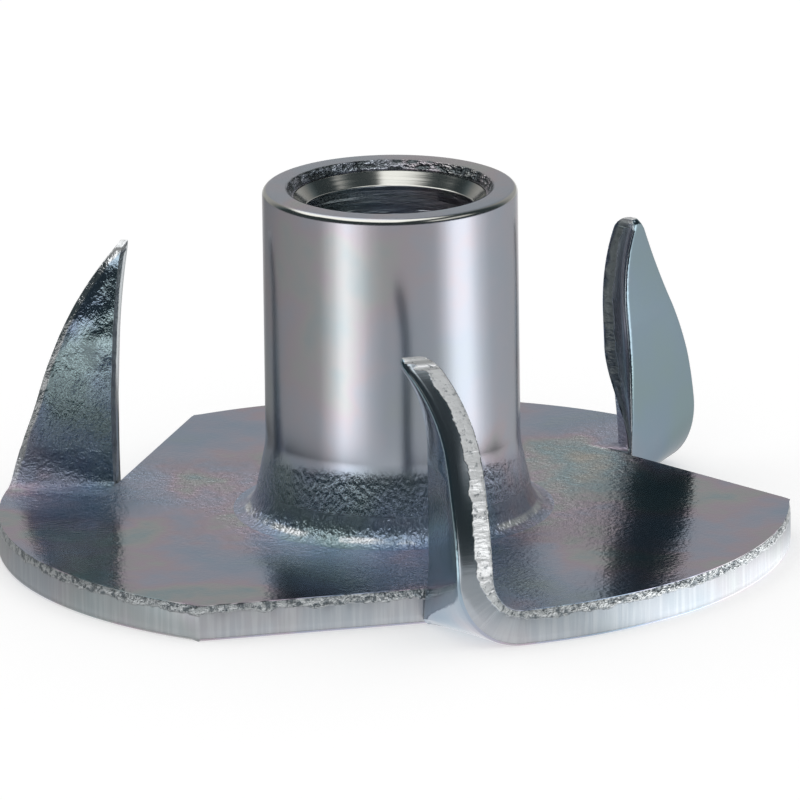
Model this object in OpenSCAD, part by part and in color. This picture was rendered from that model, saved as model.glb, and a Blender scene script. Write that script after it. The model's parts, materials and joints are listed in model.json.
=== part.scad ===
// Three-prong tee nut: one piece of sheet steel. A threaded barrel is drawn up out of a round
// blank, and three prongs are sheared from the rim along straight lines and bent up beside it.
// The axis of the bore is Z, the underside of the flange is z = 0, and the inner edge of the
// first prong stands in the XZ plane.

/* [Sheet] */
// Thickness of the sheet
sheet_t = 0.88; // [0.7:0.02:1]
// Diameter of the round blank, which is the diameter of the flange
blank_d = 19.05; // [18.4:0.05:20.4]
// Rounding of the die-side edge of the rim
rim_roll = 0.1; // [0.02:0.01:0.2]
// Rounding of the flange's corners, seen from above
corner_r = 0.4; // [0.1:0.05:0.8]

/* [Barrel] */
// Height of the barrel above the flange
barrel_h = 7.94; // [5:0.02:12]
// Outside diameter of the barrel
barrel_d = 6.12; // [5.6:0.02:7]
// Rounding of the outer edge of the barrel's mouth
mouth_r = 0.15; // [0.05:0.01:0.3]
// Height of the tapered foot above the flange
foot_h = 1.9; // [1.4:0.02:2.6]
// Angle of the foot from upright, in degrees
foot_angle = 12; // [6:1:20]
// Radius that blends the barrel into its foot
shoulder_r = 2.5; // [0.5:0.1:4]
// Fillet between the foot and the flange
foot_fillet = 0.55; // [0.2:0.05:0.8]

/* [Bore] */
// Diameter of the bore at the crests of the thread
bore_d = 3.8; // [3:0.02:4.1]
// Diameter of the countersink at the barrel's mouth
countersink_d = 4.96; // [4.4:0.02:5.2]
// Angle of the countersink's wall from the axis, in degrees
countersink_angle = 38; // [30:1:60]
// Radius of the drawn entry in the underside
entry_r = 0.95; // [0.4:0.05:1.1]

/* [Prongs] */
// Number of prongs round the rim
prong_count = 3; // [2:1:4]
// Distance from the axis to each shear line
shear_x = 7.06; // [6.4:0.02:7.6]
// Inner radius of the bend
bend_r = 0.9; // [0.5:0.05:1.2]
// Turn of each prong about its inner edge, which skews its bend line, in degrees
bend_skew = 6; // [0:1:10]
// Width of the blunt tip in the flat blank
tip_w = 0.2; // [0.1:0.02:0.6]
// Length of the curled end, along the prong
curl_len = 2.5; // [1:0.1:3]
// Radius of the curl at the middle of the sheet
curl_r = 4.7; // [3:0.1:8]
// Height above the flange where the prongs begin to lean towards the barrel
lean_h = 2.1; // [1:0.1:3]
// Lean of the prongs towards the barrel above that height, in degrees
prong_lean = 2.5; // [0:0.5:5]

/* [Hidden] */
$fn = 128;

// How far cutters and blanks reach past the metal
past = 1;
// How far a corner's arc reaches over the edges it rounds, so that it crosses them cleanly
crossing = 0.01;
// Place of the unstretched layer in a bend, from the inner face, as a share of the thickness
neutral = 0.45;

blank_r = blank_d / 2;
barrel_r = barrel_d / 2;
bore_r = bore_d / 2;
total_h = sheet_t + barrel_h;

// Foot of the barrel: a shoulder arc, a straight taper and a fillet, each tangent to the next
foot_top = sheet_t + foot_h;
shoulder_end = [
    barrel_r + shoulder_r * (1 - cos(foot_angle)),
    foot_top - shoulder_r * sin(foot_angle)
];
fillet_start_z = sheet_t + foot_fillet * (1 - sin(foot_angle));
fillet_start = [
    shoulder_end[0] + (shoulder_end[1] - fillet_start_z) * tan(foot_angle),
    fillet_start_z
];
foot_x = fillet_start[0] + foot_fillet * cos(foot_angle);

// Bore and its two ends
countersink_r = countersink_d / 2;
countersink_depth = (countersink_r - bore_r) / tan(countersink_angle);

// Development of a prong: its shear line runs from the bend to the blunt tip in the flat blank
bend_top = sheet_t + bend_r;
bend_len = PI / 2 * (bend_r + neutral * sheet_t);
flat_bend_end = bend_len - bend_r;
flat_tip = sqrt(pow(blank_r, 2) - pow(shear_x + tip_w, 2));
straight_len = flat_tip - flat_bend_end - curl_len;
curl_z = bend_top + straight_len;
curl_angle = curl_len / curl_r * 180 / PI;
curl_inner_r = curl_r - sheet_t / 2;
curl_outer_r = curl_r + sheet_t / 2;
// Height of the blank's centre once the prong has been folded up
folded_centre_z = bend_top - flat_bend_end;
lean_z = sheet_t + lean_h;

// Section of the barrel, in radius and height
module barrel_section() {
    difference() {
        polygon([
            [0, 0], [foot_x, 0], [foot_x, sheet_t], fillet_start, shoulder_end,
            [barrel_r, foot_top], [barrel_r, total_h], [0, total_h]
        ]);
        translate([barrel_r + shoulder_r, foot_top]) circle(shoulder_r);
        translate([foot_x, sheet_t + foot_fillet]) circle(foot_fillet);
        difference() {
            translate([barrel_r - mouth_r, total_h - mouth_r]) square(mouth_r + past);
            translate([barrel_r - mouth_r, total_h - mouth_r]) circle(mouth_r);
        }
    }
}

// Section of the hole: rounded drawn entry, bore and countersink
module hole_section() {
    polygon([
        [0, -past], [bore_r, -past], [bore_r, total_h - countersink_depth],
        [countersink_r, total_h], [countersink_r, total_h + past], [0, total_h + past]
    ]);
    difference() {
        translate([0, -past]) square([bore_r + entry_r, past + entry_r]);
        translate([bore_r + entry_r, entry_r]) circle(entry_r);
    }
}

// Turns a prong, or the end of its notch, about the prong's inner edge
module skewed() {
    translate([shear_x, 0, 0]) rotate(bend_skew) translate([-shear_x, 0, 0]) children();
}

// One shear line's notch, with the corner that it leaves at the rim rounded off
module notch() {
    corner = [shear_x - corner_r, -sqrt(pow(blank_r - corner_r, 2) - pow(shear_x - corner_r, 2))];
    outward = corner / norm(corner);
    // Up to the line where the bend begins
    difference() {
        translate([shear_x, -blank_r - past]) square([blank_r, blank_r + bend_r + 2 * past]);
        skewed() translate([0, bend_r]) square(2 * blank_r);
    }
    difference() {
        translate(corner)
            polygon(2 * corner_r * [[0, 0], [1, 0], [1, 0] + outward, outward]);
        translate(corner) circle(corner_r + crossing);
    }
}

// Sheet that stays flat, still square outside, before the round blank's edge is cut
module flat_sheet() {
    linear_extrude(sheet_t) difference() {
        square(2 * (blank_r + past), center = true);
        for (i = [0 : prong_count - 1]) rotate(i * 360 / prong_count) notch();
    }
}

// Everything inside the round blank's edge, with the die-side edge rolled over
module blank_space() {
    rotate_extrude() difference() {
        square([blank_r, total_h]);
        difference() {
            translate([blank_r - rim_roll, -past]) square([rim_roll + past, rim_roll + past]);
            translate([blank_r - rim_roll, rim_roll]) circle(rim_roll);
        }
    }
}

// Side view of a prong along the radius: bend, straight blade and curled end
module prong_profile() {
    // The stretch of flat sheet that carries the bend
    translate([bend_r, 0]) square([past, sheet_t]);
    // Bend
    intersection() {
        translate([bend_r, bend_top]) difference() {
            circle(bend_r + sheet_t);
            circle(bend_r);
        }
        translate([-sheet_t - past, 0]) square([sheet_t + past + bend_r, bend_top]);
    }
    // Straight blade
    translate([-sheet_t, bend_top]) square([sheet_t, straight_len]);
    // Curled end, pressed level at its tip
    translate([-sheet_t - curl_inner_r, curl_z]) intersection() {
        difference() {
            circle(curl_outer_r);
            circle(curl_inner_r);
        }
        square([curl_outer_r, curl_outer_r * sin(curl_angle)]);
    }
}

// Face view of a prong: the blank's own arc outside, the shear line inside
module prong_face() {
    top = curl_z + curl_outer_r;
    intersection() {
        translate([0, folded_centre_z]) circle(blank_r);
        translate([shear_x, lean_z]) rotate(prong_lean)
            translate([-shear_x, folded_centre_z - lean_z]) circle(blank_r);
        polygon([
            [shear_x, 0], [blank_r + past, 0], [blank_r + past, top],
            [shear_x - (top - lean_z) * tan(prong_lean), top], [shear_x, lean_z]
        ]);
    }
}

module prong() {
    reach = curl_outer_r + past;
    skewed() intersection() {
        translate([shear_x - past, 0, 0]) rotate([90, 0, 90])
            linear_extrude(blank_r - shear_x + 2 * past) prong_profile();
        translate([0, bend_r + past, 0]) rotate([90, 0, 0])
            linear_extrude(reach + bend_r + past) prong_face();
    }
}

module tee_nut() {
    color("#a3a9b0") difference() {
        union() {
            intersection() {
                union() {
                    flat_sheet();
                    for (i = [0 : prong_count - 1]) rotate(i * 360 / prong_count) prong();
                }
                blank_space();
            }
            rotate_extrude() barrel_section();
        }
        rotate_extrude() hole_section();
    }
}

tee_nut();
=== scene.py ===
# %% [markdown]
# # A three-prong tee nut, stamped from one piece of zinc-plated sheet
#
# The real nut is made in a progressive die. A round blank is cut, its middle is drawn up into a
# barrel, three prongs are sheared free along straight lines and folded up, and the bore is
# tapped. This lesson follows the same order, because each look of the finished nut comes from
# one of those steps: the smooth and the torn bands on the edges from the shearing, the tight
# heel under each prong from the folding, the bright barrel from the drawing.
#
# The packed model gives the frame: the height, the sheet and the two fits are read from it.

# %% Load the frame
import json
import math

import bmesh
import bpy
from mathutils import Matrix, Vector, noise


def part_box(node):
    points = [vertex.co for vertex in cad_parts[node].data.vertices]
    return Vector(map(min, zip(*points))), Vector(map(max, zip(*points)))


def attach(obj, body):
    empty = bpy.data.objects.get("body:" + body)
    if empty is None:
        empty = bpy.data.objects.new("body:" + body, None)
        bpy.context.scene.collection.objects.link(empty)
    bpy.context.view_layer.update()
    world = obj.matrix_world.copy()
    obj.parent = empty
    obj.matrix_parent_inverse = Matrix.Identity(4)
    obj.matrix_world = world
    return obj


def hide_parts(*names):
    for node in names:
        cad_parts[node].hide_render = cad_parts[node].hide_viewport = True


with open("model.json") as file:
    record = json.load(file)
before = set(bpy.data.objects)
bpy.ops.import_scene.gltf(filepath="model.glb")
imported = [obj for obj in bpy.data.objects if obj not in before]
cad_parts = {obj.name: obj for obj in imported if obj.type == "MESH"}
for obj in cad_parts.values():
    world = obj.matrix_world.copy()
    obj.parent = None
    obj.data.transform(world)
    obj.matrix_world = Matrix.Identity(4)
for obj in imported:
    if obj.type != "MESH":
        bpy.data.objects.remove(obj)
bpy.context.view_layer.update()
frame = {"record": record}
mounts = {mount["name"]: mount for mount in frame["record"]["mounts"]}

# %% [markdown]
# ## Sizes
# Everything is modelled in millimetres, the unit that a sheet metal drawing uses, and scaled to
# metres once at the end. What the packed model states is read from it. The rest are driving
# sizes of the part's own source, or follow from them.

# %% Sizes in millimetres
MM = 0.001
ORIGIN = Vector((0, 0, 0))
UP = Vector((0, 0, 1))

sheet_t = mounts["seat"]["pos_m"][2] / MM
barrel_r = mounts["barrel"]["dims"]["r_mm"]
crest_r = mounts["thread"]["dims"]["r_mm"]
top_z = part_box("tee_nut")[1].z / MM

blank_r = 9.525
shear_x = 7.06
prong_count = 3
bend_r = 0.9
curl_len = 2.5
curl_r = 4.7
flat_tip = 6.167
lean_z = 2.98
prong_lean = math.radians(2.5)

foot_h = 1.9
foot_angle = math.radians(12)
shoulder_r = 2.5
foot_fillet = 0.55
mouth_r = 0.15
countersink_r = 2.48
countersink_angle = math.radians(38)
entry_r = 0.95
print(f"sheet {sheet_t:.2f}, barrel radius {barrel_r:.2f}, height {top_z:.2f} mm")

# %% [markdown]
# ## A bench for shader nodes
# The finishes are wired from the same few kinds of node. They could be wired by hand in the
# shader editor, or node by node in code, which takes three or four lines each. The bench makes
# a node, sets it and wires it in one line, so that a finish reads from top to bottom like a
# recipe.

# %% The bench
class Bench:
    """Makes, sets and wires the nodes of one tree."""

    def __init__(self, tree):
        self.tree = tree

    def node(self, kind, sockets=None, **settings):
        made = self.tree.nodes.new(kind)
        for name, value in settings.items():
            setattr(made, name, value)
        for name, value in (sockets or {}).items():
            self.feed(made.inputs[name], value)
        return made

    def feed(self, socket, value):
        if isinstance(value, bpy.types.NodeSocket):
            self.tree.links.new(value, socket)
        else:
            socket.default_value = value

    def math(self, operation, *values):
        made = self.node("ShaderNodeMath", dict(enumerate(values)), operation=operation)
        return made.outputs["Value"]

    def span(self, value, low, high, to_low=0.0, to_high=1.0, smooth=True):
        """Turns a value from one span to another, and holds it inside."""
        kind = "SMOOTHSTEP" if smooth else "LINEAR"
        made = self.node("ShaderNodeMapRange", {"Value": value, "From Min": low, "From Max": high,
                                                "To Min": to_low, "To Max": to_high},
                         interpolation_type=kind)
        return made.outputs["Result"]

    def mix(self, share, first, second):
        made = self.node("ShaderNodeMix", {"Factor": share, "A": first, "B": second}, data_type="FLOAT")
        return made.outputs["Result"]

    def blend(self, share, first, second):
        # A Mix node has a socket A for each type of data, so the colour ones are taken by number
        made = self.node("ShaderNodeMix", {0: share, 6: first, 7: second}, data_type="RGBA")
        return made.outputs[2]

    def ramp(self, value, stops):
        """A ramp through (place, colour) stops."""
        made = self.node("ShaderNodeValToRGB", {"Fac": value})
        stop = made.color_ramp.elements
        stop.remove(stop[1])
        for number, (place, colour) in enumerate(stops):
            here = stop[0] if number == 0 else stop.new(place)
            here.position = place
            here.color = (*colour, 1) if isinstance(colour, tuple) else (colour, colour, colour, 1)
        return made.outputs["Color"]

    def stretch(self, place, x, y, z):
        made = self.node("ShaderNodeMapping", {"Vector": place, "Scale": (x, y, z)})
        return made.outputs["Vector"]

    def noise(self, place, scale, detail=2.0, rough=0.5):
        made = self.node("ShaderNodeTexNoise", {"Vector": place, "Scale": scale, "Detail": detail,
                                                "Roughness": rough})
        return made.outputs["Fac"]

    def split(self, place):
        return self.node("ShaderNodeSeparateXYZ", {"Vector": place}).outputs

    def length(self, place):
        return self.node("ShaderNodeVectorMath", {0: place}, operation="LENGTH").outputs["Value"]


print("bench tools:", ", ".join(name for name in vars(Bench) if not name.startswith("_")))

# %% [markdown]
# ## Camera and stage
# The camera comes first, so that every later cell can be judged in the final view. It is a long
# lens a little above the flange, which keeps the barrel's sides parallel. A Track To constraint
# could aim it, but turning it by three angles about the spot it looks at also sets its small
# roll. The stage is one pale disc under the nut, wide enough to fill every view from above.

# %% Camera
view_side = math.radians(-43.297)
view_down = math.radians(15.807)
view_roll = math.radians(-0.733)
view_distance = 0.440
view_centre = Vector((0.000179, 0, 0.003513))
sensor_width, focal_length = 36, 825.6
clip_near, clip_far = 0.01, 10

camera = bpy.data.objects.new("camera", bpy.data.cameras.new("camera"))
bpy.context.scene.collection.objects.link(camera)
turn = (Matrix.Rotation(view_side, 4, "Z") @ Matrix.Rotation(math.pi / 2 - view_down, 4, "X")
        @ Matrix.Rotation(view_roll, 4, "Z"))
view_target = Matrix.Rotation(view_side, 3, "Z") @ view_centre
camera.matrix_world = Matrix.Translation(view_target) @ turn @ Matrix.Translation(UP * view_distance)
camera.data.sensor_width = sensor_width
camera.data.lens = focal_length
camera.data.clip_start = clip_near
camera.data.clip_end = clip_far
bpy.context.scene.camera = camera
bpy.context.scene.view_settings.view_transform = "Standard"
print("camera at", [round(c, 4) for c in camera.matrix_world.translation])

# %% Stage
stage_r, stage_sides = 1.2, 96

stage = bmesh.new()
bmesh.ops.create_circle(stage, cap_ends=True, cap_tris=False, segments=stage_sides, radius=stage_r)
stage_mesh = bpy.data.meshes.new("table_top")
stage.to_mesh(stage_mesh)
stage.free()
table_top = bpy.data.objects.new("table_top", stage_mesh)
bpy.context.scene.collection.objects.link(table_top)
print("table radius", stage_r, "m")

# %% [markdown]
# ## Light
# Bright metal is a mirror with a tint, so lighting it means choosing what it mirrors. Area lamps
# would do for plain shapes, but each would add its own outline to every curved surface. Here the
# surroundings themselves are drawn: a dark room with a wide light overhead and a pale wall
# behind the nut, over a grey table with a few brighter lanes running out from the nut, which
# draw the upright streaks on the barrel. Only mirror rays meet these tones. To the lens the
# table and the room are white, and the diffuse part of the table takes the nut's soft shadow.

# %% What the metal mirrors on the table
# Each lane has its direction round the nut, in degrees from the camera's side, and its level
far_lanes = (
    (-180, 0.9), (-165, 0.7), (-150, 0.25), (-110, 0.4), (-63, 0.5), (-51, 1.1), (-41, 2.05),
    (-33, 1.65), (-18, 0.78), (-7, 0.58), (40, 0.6), (49, 1.2), (57, 1.95), (70, 2.0), (83, 1.05),
    (96, 0.7), (150, 0.5), (165, 0.9), (180, 0.9))
near_lanes = (
    (-180, 0.2), (-140, 0.1), (-110, 0.3), (-60, 0.55), (-20, 0.85), (15, 0.95), (30, 0.9),
    (44, 2.0), (75, 2.0), (95, 0.8), (150, 0.4), (180, 0.2))
lane_peak = 2.2
near_from, near_to = 0.0115, 0.0145
white = (1, 1, 1, 1)
table_glow, table_paint = 0.42, (0.7, 0.7, 0.7, 1)


def toward_lens(bench, place):
    """X, Y and Z of a place or direction, turned so that -Y runs towards the camera's side."""
    turned = bench.node("ShaderNodeVectorRotate", {"Vector": place, "Angle": -view_side},
                        rotation_type="Z_AXIS")
    return bench.split(turned.outputs["Vector"])


def round_nut(bench, way):
    """The angle round the nut from the camera's side, in radians, positive to the right."""
    return bench.math("ARCTAN2", way["X"], bench.math("MULTIPLY", way["Y"], -1.0))


table_finish = bpy.data.materials.new("table_top")
table_finish.use_nodes = True
table_finish.node_tree.nodes.clear()
bench = Bench(table_finish.node_tree)
spot = bench.node("ShaderNodeTexCoord").outputs["Object"]
lane = bench.math("MULTIPLY_ADD", round_nut(bench, toward_lens(bench, spot)), 1 / math.tau, 0.5)
far, near = (bench.ramp(lane, [(0.5 + degrees / 360, level / lane_peak) for degrees, level in lanes])
             for lanes in (far_lanes, near_lanes))
lanes = bench.blend(bench.span(bench.length(spot), near_from, near_to), near, far)
mirrored = bench.node("ShaderNodeEmission", {"Color": lanes, "Strength": lane_peak})
seen_glow = bench.node("ShaderNodeEmission", {"Color": white, "Strength": table_glow})
seen_paint = bench.node("ShaderNodeBsdfDiffuse", {"Color": table_paint})
seen = bench.node("ShaderNodeAddShader", {0: seen_glow.outputs[0], 1: seen_paint.outputs[0]})
ray = bench.node("ShaderNodeLightPath").outputs
by_ray = bench.node("ShaderNodeMixShader", {0: ray["Is Glossy Ray"], 1: seen.outputs[0],
                                            2: mirrored.outputs[0]})
from_below = bench.node("ShaderNodeNewGeometry").outputs["Backfacing"]
one_sided = bench.node("ShaderNodeMixShader", {0: from_below, 1: by_ray.outputs[0],
                                               2: bench.node("ShaderNodeBsdfTransparent").outputs[0]})
bench.node("ShaderNodeOutputMaterial", {"Surface": one_sided.outputs[0]})
stage_mesh.materials.append(table_finish)
print("table lanes", len(far_lanes), "far and", len(near_lanes), "near")

# %% The room around the nut
room_dark, room_wall, room_top, room_lamp = 0.045, 0.43, 1.5, 0.8
wall_from, wall_to = 0.35, 0.85
# Directions in degrees, and heights as the sine of the angle above the table
lamp_sides, lamp_heights = (34, 46, 80, 92), (0.38, 0.5, 0.64, 0.78)
right_side, right_lift = (8, 30), -0.10
left_side, left_lift = (-84, -104), 0.16
top_angles = (50, 60)
dim_level, dim_tint = 0.3, (0.75, 1.0, 1.12, 1)
seen_room, room_light = 1.0, 0.85


def between(bench, value, rise_from, rise_to, fall_from, fall_to):
    """1 inside a band with soft sides, and 0 outside it."""
    return bench.math("SUBTRACT", bench.span(value, rise_from, rise_to),
                      bench.span(value, fall_from, fall_to))


room = bpy.data.worlds.new("room")
bpy.context.scene.world = room
room.use_nodes = True
room.node_tree.nodes.clear()
bench = Bench(room.node_tree)
way = toward_lens(bench, bench.node("ShaderNodeTexCoord").outputs["Generated"])
low = bench.mix(bench.span(way["Y"], wall_from, wall_to), room_dark, room_wall)
around = round_nut(bench, way)
lamp = bench.math("MULTIPLY", between(bench, around, *map(math.radians, lamp_sides)),
                  between(bench, way["Z"], *lamp_heights))
right = bench.span(around, *map(math.radians, right_side))
left = bench.span(around, *map(math.radians, left_side))
high = bench.math("MULTIPLY_ADD", right, right_lift, way["Z"])
high = bench.math("MULTIPLY_ADD", left, left_lift, high)
high = bench.span(high, *(math.sin(math.radians(degrees)) for degrees in top_angles))
mirrored = bench.mix(high, bench.mix(lamp, low, room_lamp), room_top)
ray = bench.node("ShaderNodeLightPath").outputs
unmirrored = bench.mix(ray["Is Camera Ray"], room_light, seen_room)
level = bench.mix(ray["Is Glossy Ray"], unmirrored, mirrored)
dimness = bench.span(mirrored, room_dark, dim_level, 1.0, 0.0)
colour = bench.blend(bench.math("MULTIPLY", dimness, ray["Is Glossy Ray"]), white, dim_tint)
glow = bench.node("ShaderNodeBackground", {"Color": colour, "Strength": level})
bench.node("ShaderNodeOutputWorld", {"Surface": glow.outputs[0]})
print("room levels", room_dark, room_wall, room_lamp, room_top)


# %% [markdown]
# ## The blank
# The real blank is a disc, and so the sheet starts flat. A circle primitive would give one big
# face. Instead one wire, drawn along a radius, is spun about the bore's axis into a ring, so
# the facets of the rim and of the barrel line up and can be welded later. The band outside
# `web_r` is the only one that the shears touch.

# %% A flat ring of sheet
STEPS = 288
web_r = 6.9

foot_top = sheet_t + foot_h
shoulder_end = Vector((barrel_r + shoulder_r * (1 - math.cos(foot_angle)), 0,
                       foot_top - shoulder_r * math.sin(foot_angle)))
fillet_z = sheet_t + foot_fillet * (1 - math.sin(foot_angle))
fillet_start = Vector((shoulder_end.x + (shoulder_end.z - fillet_z) * math.tan(foot_angle), 0, fillet_z))
foot_x = fillet_start.x + foot_fillet * math.cos(foot_angle)


def flat_ring():
    """A ring of sheet without thickness, from the barrel's foot to the rim."""
    ring = bmesh.new()
    wire = [ring.verts.new((radius, 0, 0)) for radius in (foot_x, web_r, blank_r)]
    for start, end in zip(wire, wire[1:]):
        ring.edges.new((start, end))
    bmesh.ops.spin(ring, geom=ring.verts[:] + ring.edges[:], cent=ORIGIN, axis=UP,
                   angle=math.tau, steps=STEPS, use_merge=True)
    return ring


sheet = flat_ring()
print("ring faces", len(sheet.faces))


# %% [markdown]
# ## Shearing the prongs
# Each station of the die makes the same cut, so the code turns the sheet under one shear
# instead of aiming three. A boolean with a cutter would also part the metal, but it leaves
# long thin faces. A bisect along a straight line, limited to the faces that the tool would
# touch, keeps them tidy. The prong's region is dissolved to one face and cut again into rows
# across its length, because a fold only bends cleanly along rows that run straight across it.

# %% Cutting helpers
AXES = {"x": Vector((1, 0, 0)), "y": Vector((0, 1, 0)), "z": Vector((0, 0, 1))}


def faces_where(mesh, test):
    """The faces whose middle passes the test."""
    return [face for face in mesh.faces if test(face.calc_center_median())]


def cut(mesh, faces, axis, at):
    """Cuts those faces by the plane where the axis has that value."""
    touched = set(faces)
    for face in faces:
        touched.update(face.verts)
        touched.update(face.edges)
    bmesh.ops.bisect_plane(mesh, geom=list(touched), dist=1e-6,
                           plane_co=AXES[axis] * at, plane_no=AXES[axis])


print("cuts run across", ", ".join(AXES))

# %% One station of the shear
neutral = 0.45
bend_len = math.pi / 2 * (bend_r + neutral * sheet_t)
straight_len = flat_tip + bend_r - bend_len - curl_len
bend_rows, straight_rows, curl_rows = 26, 16, 18
# Columns of faces beside the inner edge: most run on up the blade, the last ends with the bend
heel_columns = {0.12: 4.2, 0.28: 4.2, 0.5: 4.2, 0.8: 4.2, 1.15: 4.2, 1.55: 4.2, 2.0: bend_len}
tear_start = bend_r - bend_len / 2
station_x, station_low, station_high = 5, -7, 2
on_line, tip_margin = 1e-4, 0.1

prong_id = sheet.faces.layers.int.new("prong")


def row_places():
    """Places of the rows along a prong, as distances from the start of its bend."""
    places = [bend_len * i / bend_rows for i in range(1, bend_rows)]
    places += [bend_len + straight_len * i / straight_rows for i in range(straight_rows)]
    places += [bend_len + straight_len + curl_len * i / curl_rows for i in range(curl_rows)]
    return places


def shear_station(mesh, number):
    """Shears one prong free along the line x = shear_x and numbers its faces."""
    def station(high):
        return faces_where(mesh, lambda c: c.x > station_x and c.length > web_r
                           and station_low < c.y < high)

    cut(mesh, station(station_high), "y", bend_r)
    cut(mesh, station(bend_r), "x", shear_x)
    cut(mesh, faces_where(mesh, lambda c: c.x > shear_x and c.y < 0), "y", -flat_tip)
    scrap = faces_where(mesh, lambda c: c.x > shear_x and c.y < -flat_tip)
    bmesh.ops.delete(mesh, geom=scrap, context="FACES")
    blade = faces_where(mesh, lambda c: c.x > shear_x and c.y < bend_r)
    for face in bmesh.ops.dissolve_faces(mesh, faces=blade)["region"]:
        face[prong_id] = number

    for place in row_places():
        cut(mesh, [face for face in mesh.faces if face[prong_id] == number], "y", bend_r - place)
    for column, reach in heel_columns.items():
        cut(mesh, [face for face in mesh.faces if face[prong_id] == number
                   and face.calc_center_median().y > bend_r - reach], "x", shear_x + column)
    # The ring's own facets left vertices along the prong's rim that no row uses
    idle = [vert for vert in mesh.verts if len(vert.link_edges) == 2 and vert.link_faces
            and all(face[prong_id] == number for face in vert.link_faces)
            and vert.co.y > tip_margin - flat_tip]
    bmesh.ops.dissolve_verts(mesh, verts=idle)

    torn_line = [edge for edge in mesh.edges
                 if all(abs(vert.co.x - shear_x) < on_line and vert.co.y < tear_start + on_line
                        for vert in edge.verts)]
    bmesh.ops.split_edges(mesh, edges=torn_line)


for number in range(1, prong_count + 1):
    shear_station(sheet, number)
    bmesh.ops.rotate(sheet, verts=sheet.verts[:], cent=ORIGIN,
                     matrix=Matrix.Rotation(-math.tau / prong_count, 3, "Z"))
print("sheared faces", len(sheet.faces))

# %% [markdown]
# ## Thickness and the two bands of a sheared edge
# A Solidify modifier could thicken the sheet, but extruding the flat region up leaves upright
# walls that are ready to be worked. A sheared wall isn't one surface: the punch burnishes most
# of its height and the rest tears off, so the wall is cut into rows there. The torn rows lean
# in a little and are roughened, and both corners are bevelled, the lower one more, where the
# sheet was drawn down over the die.

# %% Thicken the sheet
def is_wall(face):
    return abs(face.normal.z) < 0.5


lifted = bmesh.ops.extrude_face_region(sheet, geom=sheet.faces[:])
bmesh.ops.translate(sheet, verts=[part for part in lifted["geom"] if isinstance(part, bmesh.types.BMVert)],
                    vec=UP * sheet_t)
bmesh.ops.recalc_face_normals(sheet, faces=sheet.faces[:])
bmesh.ops.delete(sheet, context="FACES_KEEP_BOUNDARY",
                 geom=[face for face in sheet.faces
                       if is_wall(face) and face.calc_center_median().xy.length < foot_x + 0.01])
print("thick sheet faces", len(sheet.faces))

# %% Round the corners and the edges
corner_len = 0.154
rolled_edge, torn_edge = 0.1, 0.03
tear_clear = 0.12


def beside_first_prong(point):
    """The point, turned by whole stations to where it would be beside the first prong."""
    station = math.tau / prong_count
    turns = round(math.atan2(point.y, point.x) / station)
    return Matrix.Rotation(-turns * station, 3, "Z") @ point


def near_tear(point):
    """True at the inner end of a shear line, where the two walls of the tear meet."""
    return (beside_first_prong(point).xy - Vector((shear_x, tear_start))).length < tear_clear


def is_flange_corner(edge):
    """True for the upright edge where a shear line runs out through the rim."""
    middle = beside_first_prong((edge.verts[0].co + edge.verts[1].co) / 2)
    upright = abs(edge.verts[0].co.z - edge.verts[1].co.z) > sheet_t / 2
    return upright and abs(middle.x - shear_x) < 1e-3 and middle.xy.length > blank_r - 1e-3


def border(edge):
    """bottom or top where a wall meets that face of the sheet, else None."""
    if len(edge.link_faces) != 2 or is_wall(edge.link_faces[0]) == is_wall(edge.link_faces[1]):
        return None
    middle = (edge.verts[0].co + edge.verts[1].co) / 2
    if near_tear(middle):
        return None
    return "bottom" if middle.z < sheet_t / 2 else "top"


bmesh.ops.bevel(sheet, geom=[edge for edge in sheet.edges if is_flange_corner(edge)],
                offset=corner_len, segments=6, profile=0.5, affect="EDGES", material=-1)
for side, roll, segments in (("bottom", rolled_edge, 4), ("top", torn_edge, 2)):
    bmesh.ops.bevel(sheet, geom=[edge for edge in sheet.edges if border(edge) == side], offset=roll,
                    segments=segments, profile=0.5, affect="EDGES", material=-1)
print("edges rolled, faces", len(sheet.faces))

# %% Cut the walls into rows
burnished_row = 0.35
torn_rows = (0.64, 0.70, 0.77)
for row in (burnished_row, *torn_rows):
    cut(sheet, [face for face in sheet.faces if is_wall(face)], "z", row)
print("closed but for the barrel:", sum(edge.is_boundary for edge in sheet.edges) == 2 * STEPS)

# %% [markdown]
# ## Folding the prongs
# A real sheet keeps its length when it is folded, so a fold is a map from the flat blank to
# space: how far a point lies along the prong says where it is on the bend, the blade or the
# curl. Moving the vertices by such a formula keeps every row of the mesh straight and every
# wall at right angles, which a Simple Deform modifier or a lattice wouldn't. At the rim the
# bend is round, and at the inner end of the tear it is a square heel, because the flange holds
# it there. Before the fold each vertex is given its place in the blank, which the materials
# read later, so that their marks follow the metal round the bend. It also gets its strain,
# which is 1 where the sheet was worked hardest, and how far up a blade it lies.

# %% Remember the flat blank
PLATED, SHEARED, DRAWN, TURNED = range(4)
bend_fade, foot_fade_out = 2.6, 1.3
tip_zone, tip_wear = 0.25, 3.0

blank_place = sheet.verts.layers.float_vector.new("blank")
strain = sheet.verts.layers.float.new("strain")
blade = sheet.verts.layers.float.new("blade")
for vert in sheet.verts:
    vert[blank_place] = vert.co
    beside = beside_first_prong(vert.co)
    if any(face[prong_id] for face in vert.link_faces):
        at_tip = min(1, max(0, (tip_zone - beside.y - flat_tip) / tip_zone))
        vert[blade] = min(1, max(0, (bend_r - beside.y) / bend_len)) + tip_wear * at_tip
    off_bend = max(bend_r - bend_len - beside.y, beside.y - bend_r, shear_x - beside.x, 0)
    off_foot = beside.xy.length - foot_x
    vert[strain] = max(0, 1 - off_bend / bend_fade, 1 - off_foot / foot_fade_out)
for face in sheet.faces:
    face.material_index = SHEARED if is_wall(face) else PLATED
print("vertices in the strained zones", sum(vert[strain] > 0 for vert in sheet.verts))

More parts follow.
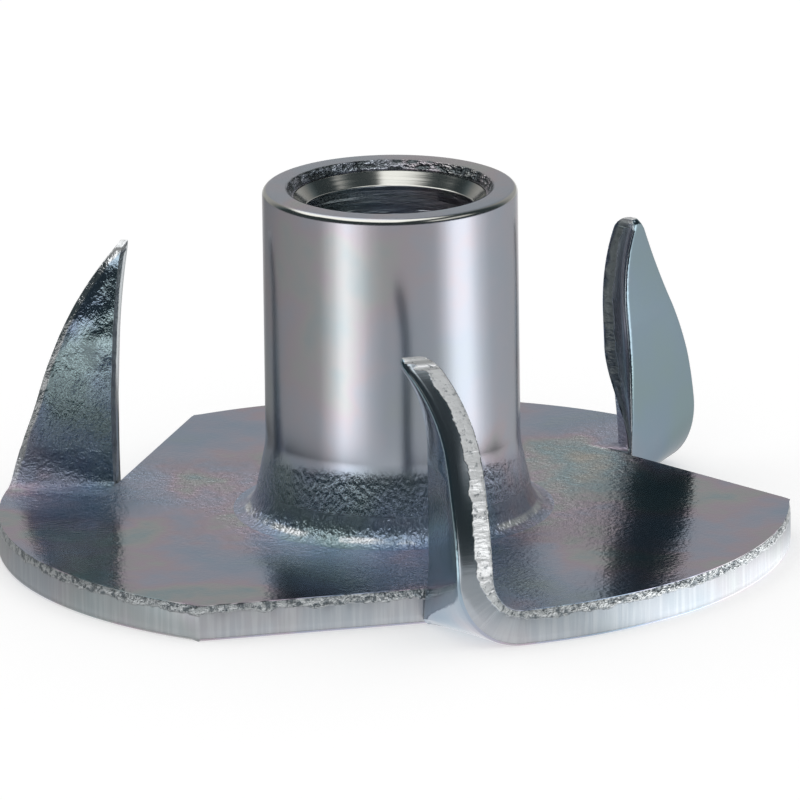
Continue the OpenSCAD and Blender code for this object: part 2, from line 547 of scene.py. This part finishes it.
# %% Rough up the torn rows
torn_top = sheet_t - torn_edge - 0.005
torn_lean, torn_grain, torn_depth, proudest = 0.03, 5.0, 0.035, 0.01

wall_normal = {}
for face in sheet.faces:
    if is_wall(face):
        for vert in face.verts:
            wall_normal[vert] = wall_normal.get(vert, Vector()) + face.normal
for vert, normal in wall_normal.items():
    torn = min(max((vert.co.z - torn_rows[0]) / (torn_top - torn_rows[0]), 0), 1)
    if torn > 0 and not near_tear(vert.co):
        chip = noise.noise(vert.co * torn_grain) * torn_depth * torn
        vert.co -= normal.normalized() * (torn_lean * torn + max(chip, -proudest))
print("vertices on the walls", len(wall_normal))

# %% The fold as a formula
lean_slope = math.tan(prong_lean)
curl_inner_r = curl_r - sheet_t / 2
curl_outer_r = curl_r + sheet_t / 2
curl_angle = curl_len / curl_r
curl_z = sheet_t + bend_r + straight_len
# How the bend goes from a square heel at the shear line to round at the rim; 1 would be evenly
heel_power = 0.8


def ease(value, low, high):
    """0 below low, 1 above high and a smooth step between them."""
    share = min(max((value - low) / (high - low), 0), 1)
    return share * share * (3 - 2 * share)


def round_corner(share, leg, radius):
    """A point on an L-shaped path of two equal legs with a rounded corner, as run and rise."""
    straight = leg - radius
    along = share * (2 * straight + radius * math.pi / 2)
    if along <= straight:
        return leg - along, 0.0
    if along <= straight + radius * math.pi / 2:
        angle = (along - straight) / radius
        return radius * (1 - math.sin(angle)), radius * (1 - math.cos(angle))
    return 0.0, radius + along - straight - radius * math.pi / 2


def fold(point):
    """Where a point of the first prong's flat blank lies once the prong is folded up."""
    along = bend_r - point.y
    height = point.z / sheet_t
    if along < bend_len:
        roundness = min(max((point.x - shear_x) / (blank_r - shear_x), 0), 1) ** heel_power
        outer_leg = bend_r + sheet_t
        run, rise = round_corner(along / bend_len, outer_leg, outer_leg * roundness)
        outer = Vector((run - sheet_t, rise))
        run, rise = round_corner(along / bend_len, bend_r, bend_r * roundness)
        inner = Vector((run, sheet_t + rise))
        y, z = outer.lerp(inner, height)
    elif along < bend_len + straight_len:
        y, z = sheet_t * (height - 1), sheet_t + bend_r + along - bend_len
    else:
        # The tip is level, so a point further out on the curl stops at a smaller angle
        radius = curl_inner_r + sheet_t * height
        share = (along - bend_len - straight_len) / curl_len
        reach = math.asin(curl_outer_r * math.sin(curl_angle) / radius) / curl_angle
        angle = curl_angle * share * (1 + share * (reach - 1))
        y = radius * math.cos(angle) - sheet_t - curl_inner_r
        z = curl_z + radius * math.sin(angle)
    return Vector((point.x - lean_slope * max(0, z - lean_z), y, z))


print(f"the curl starts at {curl_z:.2f} mm and turns {math.degrees(curl_angle):.1f} degrees")

# %% How each prong came out of the die
# turn is in degrees, uncurled is the share of the curl that is missing, lost is the length and
# thinned the share of the thickness lost at the tip, bite is the depth of the tear at the root,
# slimmed is the share of the width lost above the bend, and swell is how far the heel swells
habits = (
    dict(turn=6.0, uncurled=0.15, lost=0.10, thinned=0.45, bite=0.75, slimmed=0.0, swell=0.0),
    dict(turn=5.5, uncurled=0.0, lost=0.28, thinned=0.06, bite=0.10, slimmed=0.14, swell=0.0),
    dict(turn=3.6, uncurled=0.0, lost=0.36, thinned=0.18, bite=0.15, slimmed=0.0, swell=0.12),
)
bite_top, bite_width = 3.4, 0.42
slim_from, slim_to = 0.9, 3.2
swell_rise, swell_fall, swell_width = (-0.02, 0.13), (0.25, 1.6), 1.3
blunt_len, blunted = 0.30, 0.34


def settle(folded, flat, habit):
    """Gives a folded point what set this prong apart, and turns it about the prong's inner edge."""
    x, y, z = folded
    along = bend_r - flat.y
    height = flat.z / sheet_t
    inset = flat.x - shear_x
    from_tip = bend_len + straight_len + curl_len - along
    rise = max(0, (along - bend_len) / (straight_len + curl_len))
    # Only the part beyond the tear's inner end is free of the flange
    if along > bend_len / 2 + 1e-3:
        bitten = (1 - ease(z, sheet_t, bite_top)) * (1 - ease(inset, 0.0, bite_width))
        y -= habit["bite"] * height * bitten
        swollen = ease(z, *swell_rise) * (1 - ease(z, *swell_fall)) * (1 - ease(inset, 0.0, swell_width))
        y -= habit["swell"] * (1 - height) * swollen
    if z > curl_z:
        y += habit["uncurled"] * (curl_r - math.sqrt(max(curl_r ** 2 - (z - curl_z) ** 2, 0)))
    y += sheet_t * habit["thinned"] * rise ** 3 * (1 - height)
    y += blunted * (0.5 - height) * max(0, 1 - from_tip / blunt_len) ** 2
    z -= habit["lost"] * rise * rise
    angle = math.radians(habit["turn"]) * ease(along, 0, bend_len)
    across = (x - shear_x) * (1 - habit["slimmed"] * ease(z, slim_from, slim_to))
    return Vector((shear_x + across * math.cos(angle) - y * math.sin(angle),
                   across * math.sin(angle) + y * math.cos(angle), z))


print("prongs turn by", [habit["turn"] for habit in habits], "degrees")

# %% Fold each prong
for number, habit in enumerate(habits, start=1):
    turn_in = Matrix.Rotation(-(number - 1) * math.tau / prong_count, 3, "Z")
    for vert in {vert for face in sheet.faces if face[prong_id] == number for vert in face.verts}:
        flat = turn_in @ vert.co
        if flat.y < bend_r:
            vert.co = turn_in.inverted() @ settle(fold(flat), flat, habit)
print("prong tips at", round(max(vert.co.z for vert in sheet.verts), 3), "mm")

# %% [markdown]
# ## The barrel
# The real barrel is drawn up out of the sheet by a punch, so it is round all over. A cylinder
# with bevels would come close, but its foot and its two arcs wouldn't run into each other. It
# is made as one section spun about the axis. The section is drawn like a pen line: straight
# strokes are single vertices put in place and joined, and the round stretches are spun from
# the last vertex about their own centre, so each arc is a true arc.

# %% The barrel's section, drawn as one line
entry_lip_r = 1.95
lip_h = 0.12
groove_r = barrel_r - 0.65
thread_flank = math.radians(30)
cone_lip = 0.16
seat_step_r = 2.33
seat_step = 0.02
foot_fade = 0.8


class Pen:
    """Draws a section in the XZ plane as a chain of edges."""

    def __init__(self, mesh, r, z):
        self.mesh = mesh
        self.tip = mesh.verts.new((r, 0, z))

    def line(self, r, z):
        end = self.mesh.verts.new((r, 0, z))
        self.mesh.edges.new((self.tip, end))
        self.tip = end

    def arc(self, r, z, degrees, steps):
        """Goes round the centre (r, z), anticlockwise as seen with r to the right and z up."""
        spun = bmesh.ops.spin(self.mesh, geom=[self.tip], cent=(r, 0, z), axis=(0, -1, 0),
                              angle=math.radians(degrees), steps=steps)
        self.tip = next(part for part in spun["geom_last"] if isinstance(part, bmesh.types.BMVert))


def draw_barrel(mesh):
    """Draws the barrel's section from the underside, up the bore, and down the outside."""
    lip_turn = math.acos((crest_r + entry_r - entry_lip_r) / entry_r)
    lip_z = entry_r * (1 - math.sin(lip_turn)) + lip_h / 2
    flank = (groove_r - crest_r) * math.tan(thread_flank)
    cone_end = crest_r + cone_lip
    cone_z = top_z - (countersink_r - cone_end) / math.tan(countersink_angle)
    step_z = top_z - (countersink_r - seat_step_r) / math.tan(countersink_angle)
    pen = Pen(mesh, foot_x, 0)
    pen.line(crest_r + entry_r, 0)
    pen.arc(crest_r + entry_r, entry_r, math.degrees(lip_turn) - 90, 12)
    pen.line(crest_r, lip_z)
    pen.line(crest_r, lip_z + lip_h)
    pen.line(groove_r, lip_z + lip_h + flank)
    pen.line(groove_r, cone_z - (groove_r - cone_end) * math.tan(thread_flank))
    pen.line(cone_end, cone_z)
    pen.line(seat_step_r - seat_step, step_z - seat_step)
    pen.line(seat_step_r + seat_step, step_z - seat_step)
    pen.line(countersink_r, top_z)
    pen.line(barrel_r - mouth_r, top_z)
    pen.arc(barrel_r - mouth_r, top_z - mouth_r, -90, 6)
    pen.line(barrel_r, foot_top)
    pen.arc(barrel_r + shoulder_r, foot_top, math.degrees(foot_angle), 8)
    pen.line(fillet_start.x, fillet_start.z)
    pen.arc(foot_x, sheet_t + foot_fillet, 90 - math.degrees(foot_angle), 8)
    return lip_z + lip_h, cone_z, step_z - seat_step


known = set(sheet.verts)
thread_from, thread_to, seat_z = draw_barrel(sheet)
wire = [vert for vert in sheet.verts if vert not in known]
wire_edges = {edge for vert in wire for edge in vert.link_edges}
bmesh.ops.spin(sheet, geom=wire + list(wire_edges), cent=ORIGIN, axis=UP,
               angle=math.tau, steps=STEPS, use_merge=True)
for vert in sheet.verts:
    if vert not in known:
        vert[blank_place] = vert.co
        vert[strain] = min(1, max(0, (foot_top - vert.co.z) / foot_fade))
seam = [vert for vert in sheet.verts if abs(vert.co.xy.length - foot_x) < 1e-3]
bmesh.ops.remove_doubles(sheet, verts=seam, dist=1e-3)
bmesh.ops.recalc_face_normals(sheet, faces=sheet.faces[:])
print("closed:", not any(edge.is_boundary for edge in sheet.edges),
      "thread from", round(thread_from, 2), "to", round(thread_to, 2))

# %% [markdown]
# ## The thread
# A tap leaves a ridge that climbs the bore. A Screw modifier makes such a ridge from a profile,
# and bmesh's spin does the same when it is given a rise for each step. It is one trapezium
# carried round and up, a closed shell of its own that stands a little into the barrel's wall,
# with both ends run out into the wall the way a tap's lead leaves them.

# %% The thread's ridge
pitch = 1.058
ridge_steps = 72
ridge_root = 0.04
ridge_crest = 0.004
run_out, most_sunk = 0.3, 0.95


def cut_ridge(mesh):
    """One closed ridge, from the bore's lower lip to its upper one."""
    crest_half = pitch / 8
    root_half = crest_half + (groove_r + ridge_root - crest_r) * math.tan(thread_flank)
    corners = [(groove_r + ridge_root, -root_half), (crest_r + ridge_crest, -crest_half),
               (crest_r + ridge_crest, crest_half), (groove_r + ridge_root, root_half)]
    section = mesh.faces.new([mesh.verts.new((r, 0, thread_from + z)) for r, z in corners])
    turns = (thread_to - thread_from) / pitch
    steps = round(turns * ridge_steps)
    bmesh.ops.spin(mesh, geom=section.verts[:] + section.edges[:] + [section], cent=ORIGIN, axis=UP,
                   angle=turns * math.tau, steps=steps, dvec=UP * (thread_to - thread_from) / steps)
    for vert in mesh.verts:
        climbed = min(vert.co.z - thread_from, thread_to - vert.co.z) / pitch
        sunk = min(max(1 - climbed / run_out, 0), most_sunk)
        radius = vert.co.xy.length
        vert.co.xy *= (radius + sunk * (groove_r + ridge_root - radius)) / radius


ridge = bmesh.new()
cut_ridge(ridge)
bmesh.ops.recalc_face_normals(ridge, faces=ridge.faces[:])
ridge_place = ridge.verts.layers.float_vector.new("blank")
for vert in ridge.verts:
    vert[ridge_place] = vert.co
print("ridge faces", len(ridge.faces), "closed:", not any(edge.is_boundary for edge in ridge.edges))

# %% [markdown]
# ## The zinc plate
# The whole nut is plated after stamping, so every face has the same thin zinc and the same
# passivation film, whose faint mauve, teal and straw come from its thickness. The Principled
# shader's own thin film would change its tint with the angle of view. Here quiet tints lie in
# slow clouds, so the film is a ramp over noise, in one group that every finish shares. All marks
# read the blank's coordinates in millimetres: a scale of 8 is about eight grains to a millimetre.

# %% The passivation film
film_tints = ((0.28, (0.34, 0.44, 0.46)), (0.40, (0.33, 0.42, 0.55)), (0.49, (0.41, 0.43, 0.54)),
              (0.55, (0.49, 0.41, 0.48)), (0.60, (0.45, 0.46, 0.46)), (0.66, (0.33, 0.44, 0.47)),
              (0.78, (0.50, 0.46, 0.40)))


def new_effect(name, wants, gives):
    """An empty node group with named sockets, its bench, its inputs and its outputs."""
    group = bpy.data.node_groups.new(name, "ShaderNodeTree")
    for label, kind in wants:
        group.interface.new_socket(name=label, in_out="INPUT", socket_type="NodeSocket" + kind)
    for label, kind in gives:
        group.interface.new_socket(name=label, in_out="OUTPUT", socket_type="NodeSocket" + kind)
    bench = Bench(group)
    return bench, bench.node("NodeGroupInput").outputs, bench.node("NodeGroupOutput").inputs


bench, wants, gives = new_effect("passivation_film", [("Place", "Vector"), ("Shift", "Float")],
                                 [("Colour", "Color")])
clouds = bench.noise(wants["Place"], 0.26, detail=4.0, rough=0.55)
bench.feed(gives["Colour"], bench.ramp(bench.math("ADD", clouds, wants["Shift"]), film_tints))
print("film tints", len(film_tints))

# %% [markdown]
# ## The marks of the tools
# Each tool of the die leaves its own marks in the metal, and they are far too fine for the mesh.
# Plated sheet has a slight orange peel, and where it was stretched the peel opens into a
# crackle. A sheared wall has a burnished band with fine upright lines, and above a ragged line
# it is torn. Drawing and cutting leave long lines along their own direction. A painted texture
# of each would only fit one size, so they are built from noise, and each is a group that puts
# out heights in millimetres and masks.

# %% The grain of plated sheet
bench, wants, gives = new_effect("plated_grain",
                                 [("Place", "Vector"), ("Strain", "Float"), ("Blade", "Float")],
                                 [("Height", "Float"), ("Roughness", "Float")])
peel = bench.noise(wants["Place"], 9.0, detail=2.0)
waves = bench.noise(wants["Place"], 0.8, detail=1.0)
stretched = bench.noise(wants["Place"], 7.5, detail=3.0, rough=0.65)
dents = bench.noise(wants["Place"], 0.6, detail=2.5, rough=0.45)
strained = bench.math("POWER", wants["Strain"], 1.5)
height = bench.math("MULTIPLY", peel, 0.005)
for relief, tall in ((waves, 0.014),
                     (bench.math("MULTIPLY", stretched, strained), 0.075),
                     (bench.math("MULTIPLY", stretched, wants["Blade"]), 0.03),
                     (bench.math("MULTIPLY", dents, wants["Blade"]), 0.38)):
    height = bench.math("MULTIPLY_ADD", relief, tall, height)
bench.feed(gives["Height"], height)
rough = bench.math("MULTIPLY_ADD", peel, 0.10, 0.08)
bench.feed(gives["Roughness"], bench.math("MULTIPLY_ADD", strained, 0.16, rough))
print("grain heights: peel, waves, crackle and dents")

# %% The marks of the shear
# Where the torn band starts on the flange, as a share of the sheet's thickness, how ragged that
# line is, how much further down it starts on a prong, and how far it rises through the bend
line_at, line_ragged, line_drop, line_rise = 0.91, -0.32, -0.22, 0.16
torn_lean_in = -0.40
roll_from, roll_depth = 0.28, -0.08

bench, wants, gives = new_effect("shear_marks", [("Place", "Vector"), ("Torn more", "Float")],
                                 [("Height", "Float"), ("Torn", "Float"), ("Bright", "Float"),
                                  ("Lines", "Float")])
share = bench.math("DIVIDE", bench.split(wants["Place"])["Z"], sheet_t)
ragged = bench.noise(bench.stretch(wants["Place"], 1, 1, 0.3), 2.6, detail=3.0, rough=0.6)
through_bend = bench.math("SINE", bench.math("MULTIPLY", wants["Torn more"], math.pi))
line = bench.math("MULTIPLY_ADD", ragged, line_ragged, line_at)
line = bench.math("MULTIPLY_ADD", wants["Torn more"], line_drop, line)
line = bench.math("MULTIPLY_ADD", through_bend, line_rise, line)
above = bench.math("SUBTRACT", share, line)
torn = bench.span(above, -0.02, 0.03)
# A prong's walls are smoother than the flange's, and their torn band leans in
folded = bench.math("MINIMUM", wants["Torn more"], 1.0)
lines = bench.noise(bench.stretch(wants["Place"], 1, 1, 0.05), 9.0, detail=3.0, rough=0.6)
flakes = bench.noise(wants["Place"], 6.5, detail=3.0, rough=0.7)
smooth_height = bench.math("MULTIPLY", lines, bench.mix(folded, 0.007, 0.0015))
torn_height = bench.math("MULTIPLY", flakes, bench.mix(folded, 0.09, 0.03))
torn_height = bench.math("MULTIPLY_ADD", bench.math("MULTIPLY", above, folded), torn_lean_in,
                         torn_height)
rolled = bench.math("POWER", bench.span(share, roll_from, 0.0, smooth=False), 2.0)
height = bench.mix(torn, smooth_height, torn_height)
bench.feed(gives["Height"], bench.math("MULTIPLY_ADD", rolled, roll_depth, height))
bench.feed(gives["Torn"], torn)
# Which flakes of the torn band get a painted glint, while the others get painted shade
glint_share = bench.span(flakes, bench.mix(folded, 0.40, 0.28), bench.mix(folded, 0.56, 0.46))
bench.feed(gives["Bright"], glint_share)
bench.feed(gives["Lines"], lines)
print(f"the flange tears between {line_at + line_ragged:.2f} and {line_at:.2f} of the thickness")

# %% The lines of drawing and of cutting
bench, wants, gives = new_effect("tool_lines", [("Place", "Vector"), ("Along", "Vector")],
                                 [("Height", "Float")])
scaled = bench.node("ShaderNodeVectorMath", {0: wants["Place"], 1: wants["Along"]}, operation="MULTIPLY")
bench.feed(gives["Height"], bench.noise(scaled.outputs["Vector"], 1.0, detail=3.0, rough=0.55))
print("effects", [group.name for group in bpy.data.node_groups])

# %% [markdown]
# ## A finish is one metal with its own marks
# All of the nut is one zinc-plated metal. One material with masks for every place would do, but
# it would be a large tree that is hard to read. Here each kind of surface has a small material
# of its own, with one Principled shader, the shared film, and the marks of its tool. A few
# helpers keep what they share in one place.

# %% Helpers for the finishes
def new_finish(name):
    """A material with a plain metal shader, its bench and its place in the blank."""
    finish = bpy.data.materials.new(name)
    finish.use_nodes = True
    finish.node_tree.nodes.clear()
    bench = Bench(finish.node_tree)
    metal = bench.node("ShaderNodeBsdfPrincipled", {"Metallic": 1.0})
    bench.node("ShaderNodeOutputMaterial", {"Surface": metal.outputs[0]})
    place = bench.node("ShaderNodeAttribute", attribute_name="blank").outputs["Vector"]
    return finish, bench, metal, place


def effect(bench, name, **sockets):
    """Places one of the shared groups on a bench."""
    made = bench.node("ShaderNodeGroup", node_tree=bpy.data.node_groups[name])
    for label, value in sockets.items():
        bench.feed(made.inputs[label], value)
    return made.outputs


def raise_marks(bench, metal, height):
    """Bump from a height in millimetres."""
    bump = bench.node("ShaderNodeBump", {"Height": height, "Distance": MM, "Strength": 1.0})
    bench.feed(metal.inputs["Normal"], bump.outputs["Normal"])


def attribute(bench, name):
    """A number that the mesh carries at each vertex."""
    return bench.node("ShaderNodeAttribute", attribute_name=name).outputs["Fac"]


def film_over(bench, place, shift):
    """The film's colour, moved along its tints."""
    return effect(bench, "passivation_film", Place=place, Shift=shift)["Colour"]


def from_axis(bench, axis):
    """The distance of a place from the bore's axis."""
    flat_place = bench.node("ShaderNodeCombineXYZ", {"X": axis["X"], "Y": axis["Y"]})
    return bench.length(flat_place.outputs["Vector"])


print("a finish reads blank, strain and blade from the mesh")

# %% [markdown]
# ### Pressed sheet
# The flat of the flange and the faces of the prongs only met the smooth faces of the die, so
# they keep a bright, slightly wavy skin. A plain metal with one roughness would look like
# plastic foil. The grain gives the skin its peel, the crackle follows the strain, the prongs'
# pressed side has shallow dents, and its outer edge is worn bright, with a painted highlight
# along it. The other side of each prong is tinted a darker teal, which is painted shade.

# %% Pressed sheet
shaded_under_tint, worn_highlight_tint = (0.33, 0.45, 0.49, 1), (0.86, 0.88, 0.89, 1)
blade_shift, shaded_under_share = -0.12, 0.6
side_from, side_to = 0.5, 0.6
worn_highlight_from, worn_highlight_to, worn_highlight_ragged = 0.14, 0.06, 0.16
rolled_rim, rim_depth = 0.45, -0.14

plated, bench, metal, place = new_finish("plated_sheet")
worked = attribute(bench, "strain")
on_blade = bench.math("MINIMUM", attribute(bench, "blade"), 1.0)
axis = bench.split(place)
pressed_side = bench.span(axis["Z"], side_from, side_to)
pressed_blade = bench.math("MULTIPLY", on_blade, pressed_side)
grain = effect(bench, "plated_grain", Place=place, Blade=pressed_blade,
               Strain=bench.math("MULTIPLY", worked, pressed_side))
film = film_over(bench, place, bench.math("MULTIPLY", on_blade, blade_shift))
# The prong's unpressed side is tinted a darker teal: this is painted shade
shaded_underneath = bench.math("MULTIPLY", on_blade, bench.math("SUBTRACT", 1.0, pressed_side))
film = bench.blend(bench.math("MULTIPLY", shaded_underneath, shaded_under_share), film, shaded_under_tint)
out = from_axis(bench, axis)
# The prong's outer edge is lightened: worn metal, with a painted highlight along it
worn_highlight = bench.math("MULTIPLY_ADD", bench.noise(place, 1.4, detail=2.0), worn_highlight_ragged, out)
worn_highlight = bench.math("MULTIPLY", bench.span(worn_highlight, blank_r - worn_highlight_from, blank_r - worn_highlight_to), pressed_blade)
bench.feed(metal.inputs["Base Color"], bench.blend(worn_highlight, film, worn_highlight_tint))
bench.feed(metal.inputs["Roughness"], grain["Roughness"])
near_rim = bench.math("POWER", bench.span(out, blank_r - rolled_rim, blank_r, smooth=False), 2.0)
roll = bench.math("MULTIPLY", bench.math("MULTIPLY", near_rim, pressed_blade), rim_depth)
raise_marks(bench, metal, bench.math("ADD", grain["Height"], roll))
print(plated.name, "has", len(plated.node_tree.nodes), "nodes")

# %% [markdown]
# ### Sheared walls
# A sheared wall shows how the punch went through: first a burnished band, dull on the flange and
# bright on the prongs, and then broken metal, a ragged band of crystals, whose glints are painted
# as bright flecks and the shade in its hollows as dark ones.
# Two materials with a seam between them would give a straight line. One material that is mixed
# by the ragged mask lets the line wander as it does in metal.

# %% Sheared walls
wall_tint, score_tint = (0.44, 0.475, 0.49, 1), (0.66, 0.69, 0.70, 1)
painted_shade_tint, painted_glint_tint = (0.22, 0.25, 0.27, 1), (0.68, 0.71, 0.72, 1)
blade_glint_tint, rim_glint_tint = (0.40, 0.46, 0.48, 1), (0.95, 0.97, 0.98, 1)
wall_shift, wall_share = -0.08, 0.75
score_from, score_to, score_share = 0.42, 0.66, 0.28
flange_rough, blade_rough, torn_rough, rim_metal = 0.36, 0.17, 0.32, 0.4

sheared, bench, metal, place = new_finish("sheared_wall")
blade_mark = attribute(bench, "blade")
on_blade = bench.math("MINIMUM", blade_mark, 1.0)
marks = effect(bench, "shear_marks", Place=place, **{"Torn more": blade_mark})
film = film_over(bench, place, bench.math("MULTIPLY", on_blade, wall_shift))
film = bench.blend(wall_share, film, wall_tint)
out = from_axis(bench, bench.split(place))
on_rim = bench.math("MULTIPLY", on_blade, bench.span(out, blank_r - 0.3, blank_r - 0.1))
# The torn band's flecks are painted glints, and painted shade in its hollows
painted_glints = bench.blend(on_blade, painted_glint_tint, blade_glint_tint)
painted_glints = bench.blend(on_rim, painted_glints, rim_glint_tint)
torn = bench.blend(marks["Bright"], painted_shade_tint, painted_glints)
scored = bench.math("MULTIPLY", bench.span(marks["Lines"], score_from, score_to),
                    bench.mix(on_blade, score_share, 0.0))
film = bench.blend(scored, film, score_tint)
bench.feed(metal.inputs["Base Color"], bench.blend(marks["Torn"], film, torn))
# The torn metal on a prong's rim is matt, so it takes part of its light as a pale solid would
matt = bench.math("MULTIPLY", marks["Torn"], on_rim)
bench.feed(metal.inputs["Metallic"], bench.mix(matt, 1.0, rim_metal))
burnished = bench.mix(on_blade, flange_rough, blade_rough)
bench.feed(metal.inputs["Roughness"], bench.mix(marks["Torn"], burnished, torn_rough))
raise_marks(bench, metal, marks["Height"])
print(sheared.name, "has", len(sheared.node_tree.nodes), "nodes")

# %% [markdown]
# ### The drawn barrel
# Drawing polishes the barrel and leaves faint upright streaks. At its foot the metal was
# stretched over the punch and crackled, and a painted highlight lies in patches along the crest
# of the fillet.
# Anisotropy would blur the reflections sideways all over, so the streaks are a very low relief
# instead, which keeps them sharp.

# %% The drawn barrel
barrel_tint, crest_highlight_tint = (0.47, 0.47, 0.485, 1), (0.85, 0.87, 0.88, 1)
crest_highlight_heights = (0.05, 0.10, 0.14, 0.22)
foot_shift, barrel_share = -0.1, 0.6
highlight_from, highlight_to = 0.40, 0.62
streak_height, fibre_height = 0.0008, 0.08

drawn, bench, metal, place = new_finish("drawn_barrel")
worked = attribute(bench, "strain")
axis = bench.split(place)
streaks = effect(bench, "tool_lines", Place=place, Along=(6.0, 6.0, 0.25))["Height"]
fibres = effect(bench, "tool_lines", Place=place, Along=(9.0, 9.0, 6.0))["Height"]
film = film_over(bench, place, bench.math("MULTIPLY", worked, foot_shift))
film = bench.blend(bench.mix(worked, barrel_share, 0.0), film, barrel_tint)
rise_from, rise_to, fall_from, fall_to = (sheet_t + height for height in crest_highlight_heights)
# A painted highlight in patches along the crest of the fillet
crest = bench.math("MULTIPLY", bench.span(axis["Z"], rise_from, rise_to),
                   bench.span(axis["Z"], fall_to, fall_from))
patches = bench.span(bench.noise(place, 1.6, detail=3.0), highlight_from, highlight_to)
crest_highlight = bench.math("MULTIPLY", crest, patches)
bench.feed(metal.inputs["Base Color"], bench.blend(crest_highlight, film, crest_highlight_tint))
bench.feed(metal.inputs["Roughness"], bench.math("MULTIPLY_ADD", worked, 0.08, 0.2))
crackle = bench.math("MULTIPLY", fibres, bench.math("POWER", worked, 2.0))
height = bench.math("MULTIPLY", crackle, fibre_height)
raise_marks(bench, metal, bench.math("MULTIPLY_ADD", streaks, streak_height, height))
print(drawn.name, "has", len(drawn.node_tree.nodes), "nodes")

# %% [markdown]
# ### The cut bore and mouth
# The bore is tapped and its mouth is countersunk, so both show fresh rings. Above the cone a
# narrow chamfer was left rough by the tool, with scorched spots. These places lie above one
# another, so masks by height and by distance from the axis tell them apart, with no need for
# more materials.

# %% The cut bore and mouth
cone_tint, thread_tint = (0.60, 0.60, 0.56, 1), (0.9, 0.92, 0.93, 1)
scorch_tint = (0.13, 0.15, 0.16, 1)
cone_rough, other_rough = 0.15, 0.24
ring_height, thread_height, chatter_height = 0.003, 0.10, 0.16

turned, bench, metal, place = new_finish("cut_bore")
axis = bench.split(place)
rings = effect(bench, "tool_lines", Place=place, Along=(0.4, 0.4, 9.0))["Height"]
chatter = effect(bench, "tool_lines", Place=place, Along=(4.0, 4.0, 9.0))["Height"]
out = from_axis(bench, axis)
# Each mask fades over a few hundredths of a millimetre
flared = bench.math("MULTIPLY", bench.span(axis["Z"], seat_z - 0.02, seat_z + 0.02),
                    bench.span(out, countersink_r + 0.03, countersink_r - 0.01))
crests = bench.span(out, crest_r + 0.10, crest_r + 0.03)
in_bore = bench.span(axis["Z"], thread_to + 0.02, thread_to - 0.05)
on_top = bench.span(axis["Z"], top_z - 0.03, top_z - 0.005)
elsewhere = bench.math("MAXIMUM", on_top, bench.math("MAXIMUM", in_bore, flared))
polished = bench.math("SUBTRACT", 1.0, elsewhere)
tone = bench.blend(bench.mix(polished, 0.35, 1.0), film_over(bench, place, -0.03), cone_tint)
tone = bench.blend(bench.math("MULTIPLY", crests, in_bore), tone, thread_tint)
scorched = bench.math("MULTIPLY", flared, bench.span(chatter, 0.56, 0.44))
bench.feed(metal.inputs["Base Color"], bench.blend(scorched, tone, scorch_tint))
bench.feed(metal.inputs["Roughness"], bench.mix(polished, other_rough, cone_rough))
height = bench.math("MULTIPLY", rings, bench.mix(in_bore, ring_height, thread_height))
rattle = bench.math("MULTIPLY", chatter, flared)
raise_marks(bench, metal, bench.math("MULTIPLY_ADD", rattle, chatter_height, height))
print("finishes", [finish.name for finish in (plated, sheared, drawn, turned)])

# %% [markdown]
# ## One mesh
# The nut is one piece of metal, so the sheet, the barrel and the ridge become one mesh in metres.
# Each face is given its finish by where it lies: sheet that the dies only pressed, walls that
# were sheared, the drawn barrel, and the bore and mouth that a tool has cut. Smooth shading
# would bend the light across a large flat face next to a small bevel. The Weighted Normal
# modifier is the usual cure, but on a mesh that is only millimetres across it changed nothing
# here, so the corners round the flats are given upright normals by a few lines of code.

# %% Join the sheet, the barrel and the thread
smooth_limit = math.radians(38)
facing_down, facing_in, facing_level = -0.9, -0.1, 0.9999
touching = 1e-3


def finish_of(face):
    """The finish of a face of the barrel, or the one that it has."""
    middle = face.calc_center_median()
    radius = middle.xy.length
    if radius > foot_x + touching:
        return face.material_index
    if face.normal.z < facing_down and middle.z < touching:
        return PLATED
    faces_in = face.normal.dot(Vector((middle.x, middle.y, 0)).normalized()) < facing_in
    in_hole = faces_in and radius < entry_lip_r + 0.5 and middle.z > entry_r / 2
    if in_hole or middle.z > top_z - mouth_r * 0.7:
        return TURNED
    in_entry = middle.z < min(entry_r, radius - 1) and radius < foot_x - foot_fillet
    return PLATED if in_entry else DRAWN


for face in sheet.faces:
    face.material_index = finish_of(face)
for face in ridge.faces:
    face.material_index = TURNED
ridge_mesh = bpy.data.meshes.new("ridge")
ridge.to_mesh(ridge_mesh)
ridge.free()
sheet.from_mesh(ridge_mesh)
bpy.data.meshes.remove(ridge_mesh)
for face in sheet.faces:
    face.smooth = True
bmesh.ops.scale(sheet, vec=(MM, MM, MM), verts=sheet.verts[:])

nut_mesh = bpy.data.meshes.new("stamped_nut")
sheet.to_mesh(nut_mesh)
sheet.free()
nut_mesh.set_sharp_from_angle(angle=smooth_limit)


def keep_flats_flat(mesh):
    """Gives the corners of the flat sheet's faces, and of the small bevels on them, upright normals."""
    flat_side = {vert: face.normal.z for face in mesh.polygons
                 if face.material_index == PLATED and abs(face.normal.z) > facing_level
                 for vert in face.vertices}
    # A corner left at zero keeps the normal that it has
    normals = [(0, 0, 0)] * len(mesh.loops)
    for face in mesh.polygons:
        for corner in face.loop_indices:
            side = flat_side.get(mesh.loops[corner].vertex_index, 0)
            if face.normal.z * side > math.cos(smooth_limit):
                normals[corner] = (0, 0, math.copysign(1, side))
    mesh.normals_split_custom_set(normals)
    return len(flat_side)


print("corners kept upright at", keep_flats_flat(nut_mesh), "vertices")
for finish in (plated, sheared, drawn, turned):
    nut_mesh.materials.append(finish)
stamped_nut = bpy.data.objects.new("stamped_nut", nut_mesh)
bpy.context.scene.collection.objects.link(stamped_nut)

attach(stamped_nut, "root")
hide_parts("tee_nut")
print("nut faces", len(nut_mesh.polygons))
